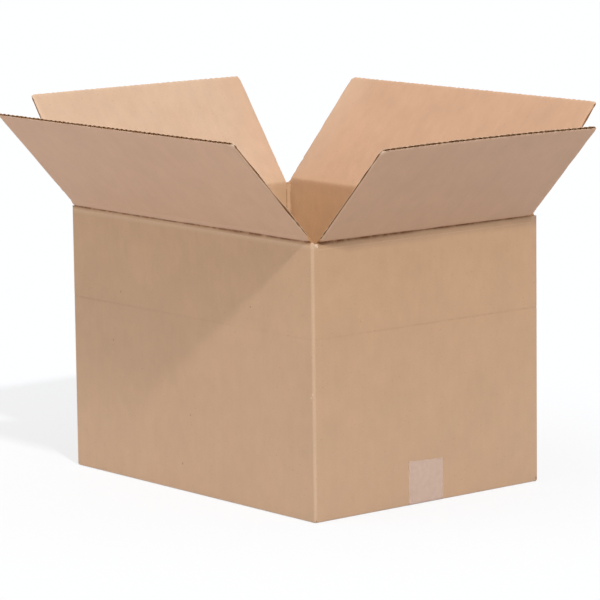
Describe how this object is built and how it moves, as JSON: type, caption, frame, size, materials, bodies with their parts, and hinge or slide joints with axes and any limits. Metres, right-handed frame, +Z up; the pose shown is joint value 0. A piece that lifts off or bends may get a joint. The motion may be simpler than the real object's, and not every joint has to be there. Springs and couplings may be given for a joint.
{
  "type": "open cardboard box",
  "caption": "Plain corrugated shipping carton with hinged top flaps standing open and a taped bottom",
  "frame": {"origin": "on the floor under the middle of the carton", "axes": "+Z up, X along the long walls, Y along the short walls; the front wall faces -Y"},
  "size_m": [0.601, 0.5061, 0.4086],
  "materials": {
    "kraft_board": "matte",
    "kraft_flute": "matte",
    "clear_tape": "satin"
  },
  "bodies": {
    "carton": {"carton_body": "kraft_board", "bottom_tape": "clear_tape"},
    "front_flap": {"front_flap": "kraft_flute"},
    "back_flap": {"back_flap": "kraft_flute"},
    "left_flap": {"left_flap": "kraft_flute"},
    "right_flap": {"right_flap": "kraft_flute"}
  },
  "joints": [
    {"name": "front_flap_crease", "type": "hinge", "parent": "carton", "child": "front_flap", "pos_m": [0, -0.15665, 0.2932], "axis": [-1, 0, 0], "range_deg": [-137, 133]},
    {"name": "back_flap_crease", "type": "hinge", "parent": "carton", "child": "back_flap", "pos_m": [0, 0.15665, 0.2932], "axis": [1, 0, 0], "range_deg": [-139.5, 130.5]},
    {"name": "left_flap_crease", "type": "hinge", "parent": "carton", "child": "left_flap", "pos_m": [-0.20715, 0, 0.2889], "axis": [0, 1, 0], "range_deg": [-144, 126]},
    {"name": "right_flap_crease", "type": "hinge", "parent": "carton", "child": "right_flap", "pos_m": [0.20715, 0, 0.2889], "axis": [0, -1, 0], "range_deg": [-135.5, 134.5]}
  ]
}
